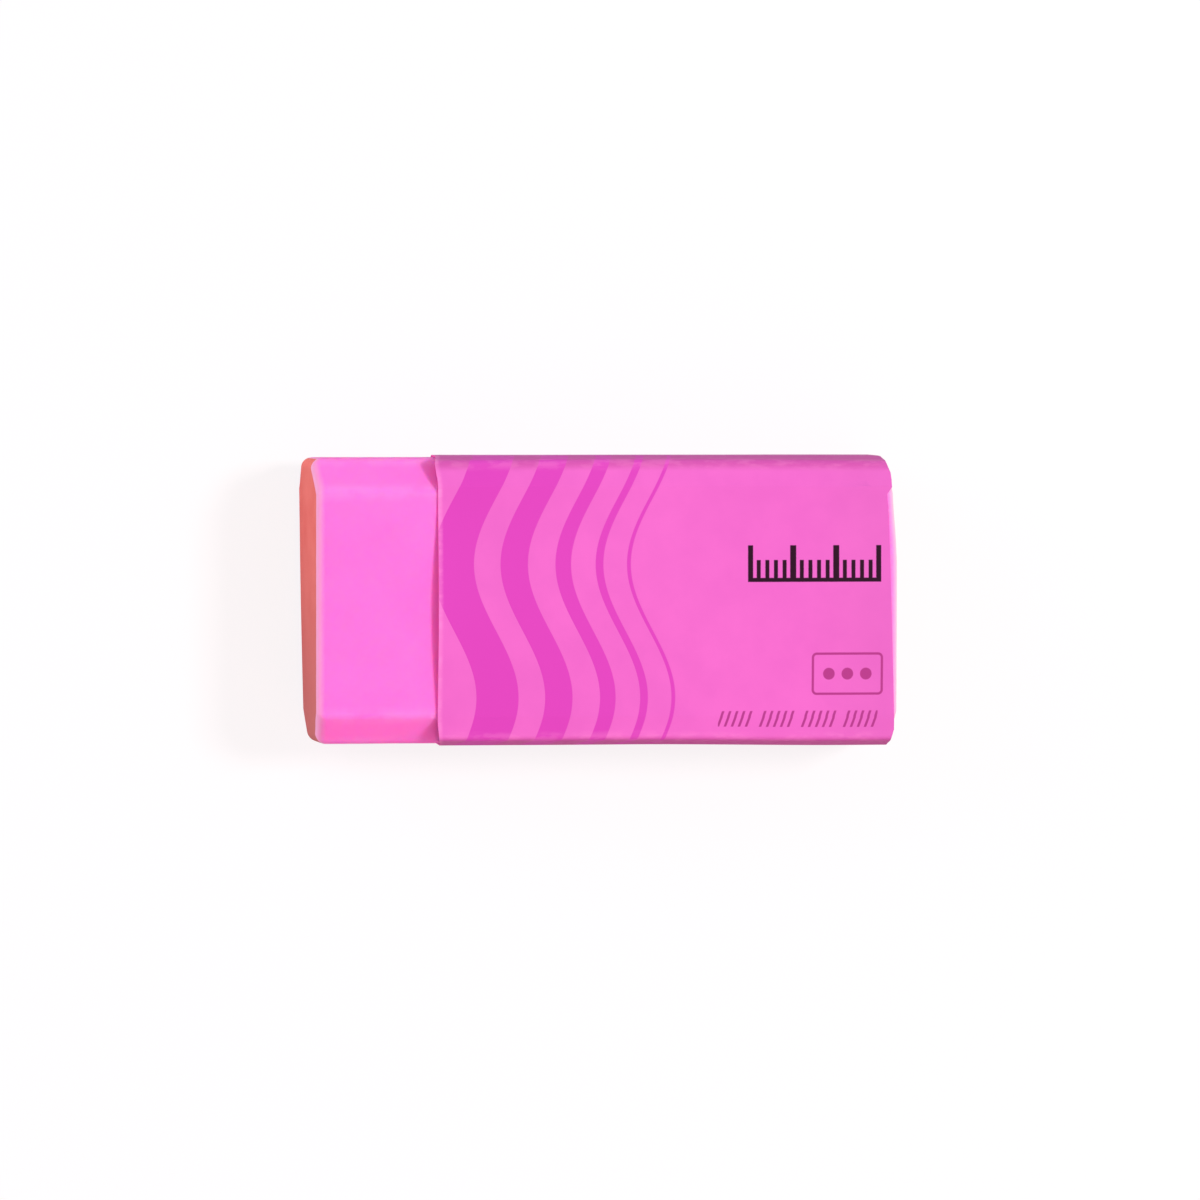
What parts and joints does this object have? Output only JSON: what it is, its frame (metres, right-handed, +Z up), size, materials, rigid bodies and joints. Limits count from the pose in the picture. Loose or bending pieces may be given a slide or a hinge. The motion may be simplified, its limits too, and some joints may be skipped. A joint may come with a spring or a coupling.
{
  "type": "rubber eraser",
  "caption": "Rectangular rubber eraser with bevelled long edges and soft ends, in a folded card sleeve that slides along it.",
  "frame": {"origin": "under the middle of the block, on the surface that the sleeve lies on", "axes": "+X along the block from its bare end to its covered end, +Y across its width, +Z up, out of a large face"},
  "size_m": [0.059, 0.029, 0.0128],
  "materials": {
    "rubber": "matt, slightly soft sheen, coral on the cut ends",
    "card": "smooth coated card with a satin print, pale on its cut edges"
  },
  "bodies": {
    "block": {"rubber_block": "rubber"},
    "sleeve": {"card_sleeve": "card"}
  },
  "joints": [
    {"name": "sleeve_slide", "type": "slide", "parent": "block", "child": "sleeve", "axis": [1, 0, 0], "range_m": [-0.0122, 0.036]}
  ]
}
